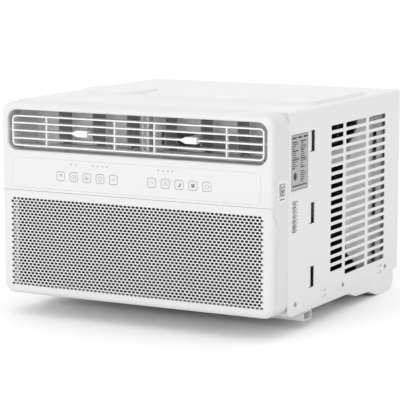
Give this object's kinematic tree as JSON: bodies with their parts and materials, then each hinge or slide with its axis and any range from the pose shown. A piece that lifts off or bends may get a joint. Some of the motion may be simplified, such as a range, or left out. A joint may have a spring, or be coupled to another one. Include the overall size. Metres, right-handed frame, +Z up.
{
  "type": "window air conditioner",
  "caption": "Box-shaped window air conditioner: steel cabinet, tilting louver, touch keys, hinged perforated intake panel, full cooling circuit inside.",
  "frame": {"origin": "middle of the smallest box round the unit, on its underside", "axes": "+X to the right seen from the front, +Y from the front to the rear, +Z up"},
  "size_m": [0.529, 0.545, 0.3795],
  "materials": {
    "cabinet_paint": "off-white powder coat, fine orange peel, semi-matt",
    "pan_paint": "off-white powder coat, semi-matt",
    "fascia_plastic": "white moulded plastic, fine grain",
    "panel_plastic": "white moulded plastic, fine grain, perforated",
    "louver_plastic": "white moulded plastic, satin",
    "vane_plastic": "light grey moulded plastic",
    "key_plastic": "white keys with a grey ring and sign",
    "overlay_film": "white face film, fine texture",
    "light_pipe": "smoked light pipes",
    "dark_window": "translucent receiver window",
    "circuit_board": "green circuit board",
    "filter_mesh": "dark mesh in a plastic frame",
    "duct_plastic": "light grey moulded plastic",
    "duct_foam": "moulded bead foam",
    "shroud_plastic": "light grey moulded plastic",
    "dark_plastic": "black moulded plastic",
    "fin_aluminium": "bare fins",
    "galvanised_steel": "zinc-coated sheet",
    "bright_steel": "ground shaft",
    "motor_metal": "cast and pressed motor case",
    "compressor_paint": "black paint",
    "copper": "copper tube",
    "black_rubber": "moulded rubber",
    "screw_steel": "plated screws",
    "label_film": "blank printed film label"
  },
  "bodies": {
    "root": {"accumulator": "compressor_paint", "air_filter": "filter_mesh", "barcode_label": "label_film", "base_pan": "pan_paint", "board_screws": "screw_steel", "bulkhead": "galvanised_steel", "cabinet_screws": "screw_steel", "cabinet_wrap": "cabinet_paint", "capillary_tube": "copper", "compressor": "compressor_paint", "compressor_mounts": "black_rubber", "condenser_coil": "fin_aluminium", "control_board": "circuit_board", "control_box": "galvanised_steel", "control_overlay": "overlay_film", "cord_gland": "black_rubber", "discharge_tube": "black_rubber", "drain_plug": "black_rubber", "drain_tray": "duct_foam", "evaporator_coil": "fin_aluminium", "fan_motor": "motor_metal", "fan_shroud": "shroud_plastic", "front_fascia": "fascia_plastic", "indicator_lights": "light_pipe", "inspection_label": "label_film", "motor_bracket": "galvanised_steel", "outlet_duct": "duct_plastic", "rating_label": "label_film", "remote_window": "dark_window", "run_capacitor": "motor_metal", "scroll_housing": "duct_foam", "side_brace": "galvanised_steel", "sill_rail": "pan_paint", "suction_tube": "copper", "vane_post": "vane_plastic"},
    "louver": {"louver_frame": "louver_plastic"},
    "left_slider": {"left_knob": "louver_plastic"},
    "right_slider": {"right_knob": "louver_plastic"},
    "left_bar": {"left_tie_bar": "vane_plastic"},
    "right_bar": {"right_tie_bar": "vane_plastic"},
    "rotor": {"blower_wheel": "dark_plastic", "motor_shaft": "bright_steel", "condenser_fan": "dark_plastic"},
    "intake": {"grille_panel": "panel_plastic"},
    "vane_1_body": {"vane_1": "vane_plastic"},
    "vane_2_body": {"vane_2": "vane_plastic"},
    "vane_3_body": {"vane_3": "vane_plastic"},
    "vane_4_body": {"vane_4": "vane_plastic"},
    "vane_5_body": {"vane_5": "vane_plastic"},
    "vane_6_body": {"vane_6": "vane_plastic"},
    "remote_key": {"key_remote": "key_plastic"},
    "timer_key": {"key_timer": "key_plastic"},
    "mode_key": {"key_mode": "key_plastic"},
    "eco_key": {"key_eco": "key_plastic"},
    "down_key": {"key_down": "key_plastic"},
    "up_key": {"key_up": "key_plastic"},
    "fan_key": {"key_fan": "key_plastic"},
    "sleep_key": {"key_sleep": "key_plastic"},
    "speed_key": {"key_speed": "key_plastic"},
    "power_key": {"key_power": "key_plastic"}
  },
  "joints": [
    {"name": "louver_tilt", "type": "hinge", "parent": "root", "child": "louver", "pos_m": [0, -0.2595, 0.325], "axis": [1, 0, 0], "range_deg": [-15, 15]},
    {"name": "intake_open", "type": "hinge", "parent": "root", "child": "intake", "pos_m": [0, -0.265, 0.0442], "axis": [1, 0, 0], "range_deg": [0, 32]},
    {"name": "rotor_spin", "type": "hinge", "parent": "root", "child": "rotor", "pos_m": [0, -0.0225, 0.178], "axis": [0, 1, 0], "continuous": true},
    {"name": "left_knob_slide", "type": "slide", "parent": "louver", "child": "left_slider", "axis": [1, 0, 0], "range_m": [-0.012, 0.012]},
    {"name": "left_bar_slide", "type": "slide", "parent": "root", "child": "left_bar", "axis": [1, 0, 0], "range_m": [-0.0121, 0.0121]},
    {"name": "vane_1_swing", "type": "hinge", "parent": "root", "child": "vane_1_body", "pos_m": [-0.173, -0.1865, 0.326], "axis": [0, 0, 1], "range_deg": [-20, 20]},
    {"name": "vane_2_swing", "type": "hinge", "parent": "root", "child": "vane_2_body", "pos_m": [-0.105, -0.1865, 0.326], "axis": [0, 0, 1], "range_deg": [-20, 20]},
    {"name": "vane_3_swing", "type": "hinge", "parent": "root", "child": "vane_3_body", "pos_m": [-0.037, -0.1865, 0.326], "axis": [0, 0, 1], "range_deg": [-20, 20]},
    {"name": "right_knob_slide", "type": "slide", "parent": "louver", "child": "right_slider", "axis": [1, 0, 0], "range_m": [-0.012, 0.012]},
    {"name": "right_bar_slide", "type": "slide", "parent": "root", "child": "right_bar", "axis": [1, 0, 0], "range_m": [-0.0121, 0.0121]},
    {"name": "vane_4_swing", "type": "hinge", "parent": "root", "child": "vane_4_body", "pos_m": [0.037, -0.1865, 0.326], "axis": [0, 0, 1], "range_deg": [-20, 20]},
    {"name": "vane_5_swing", "type": "hinge", "parent": "root", "child": "vane_5_body", "pos_m": [0.105, -0.1865, 0.326], "axis": [0, 0, 1], "range_deg": [-20, 20]},
    {"name": "vane_6_swing", "type": "hinge", "parent": "root", "child": "vane_6_body", "pos_m": [0.173, -0.1865, 0.326], "axis": [0, 0, 1], "range_deg": [-20, 20]},
    {"name": "remote_press", "type": "slide", "parent": "root", "child": "remote_key", "axis": [0, 1, 0], "range_m": [0, 0.0009], "stiffness_N_per_m": 600},
    {"name": "timer_press", "type": "slide", "parent": "root", "child": "timer_key", "axis": [0, 1, 0], "range_m": [0, 0.0009], "stiffness_N_per_m": 600},
    {"name": "mode_press", "type": "slide", "parent": "root", "child": "mode_key", "axis": [0, 1, 0], "range_m": [0, 0.0009], "stiffness_N_per_m": 600},
    {"name": "eco_press", "type": "slide", "parent": "root", "child": "eco_key", "axis": [0, 1, 0], "range_m": [0, 0.0009], "stiffness_N_per_m": 600},
    {"name": "down_press", "type": "slide", "parent": "root", "child": "down_key", "axis": [0, 1, 0], "range_m": [0, 0.0009], "stiffness_N_per_m": 600},
    {"name": "up_press", "type": "slide", "parent": "root", "child": "up_key", "axis": [0, 1, 0], "range_m": [0, 0.0009], "stiffness_N_per_m": 600},
    {"name": "fan_press", "type": "slide", "parent": "root", "child": "fan_key", "axis": [0, 1, 0], "range_m": [0, 0.0009], "stiffness_N_per_m": 600},
    {"name": "sleep_press", "type": "slide", "parent": "root", "child": "sleep_key", "axis": [0, 1, 0], "range_m": [0, 0.0009], "stiffness_N_per_m": 600},
    {"name": "speed_press", "type": "slide", "parent": "root", "child": "speed_key", "axis": [0, 1, 0], "range_m": [0, 0.0009], "stiffness_N_per_m": 600},
    {"name": "power_press", "type": "slide", "parent": "root", "child": "power_key", "axis": [0, 1, 0], "range_m": [0, 0.0009], "stiffness_N_per_m": 600}
  ],
  "couplings": [
    {"joint": "left_bar_slide", "follows": "left_knob_slide", "ratio": 1},
    {"joint": "vane_1_swing", "follows": "left_knob_slide", "rad_per_m": 27.778},
    {"joint": "vane_2_swing", "follows": "left_knob_slide", "rad_per_m": 27.778},
    {"joint": "vane_3_swing", "follows": "left_knob_slide", "rad_per_m": 27.778},
    {"joint": "right_bar_slide", "follows": "right_knob_slide", "ratio": 1},
    {"joint": "vane_4_swing", "follows": "right_knob_slide", "rad_per_m": 27.778},
    {"joint": "vane_5_swing", "follows": "right_knob_slide", "rad_per_m": 27.778},
    {"joint": "vane_6_swing", "follows": "right_knob_slide", "rad_per_m": 27.778}
  ]
}
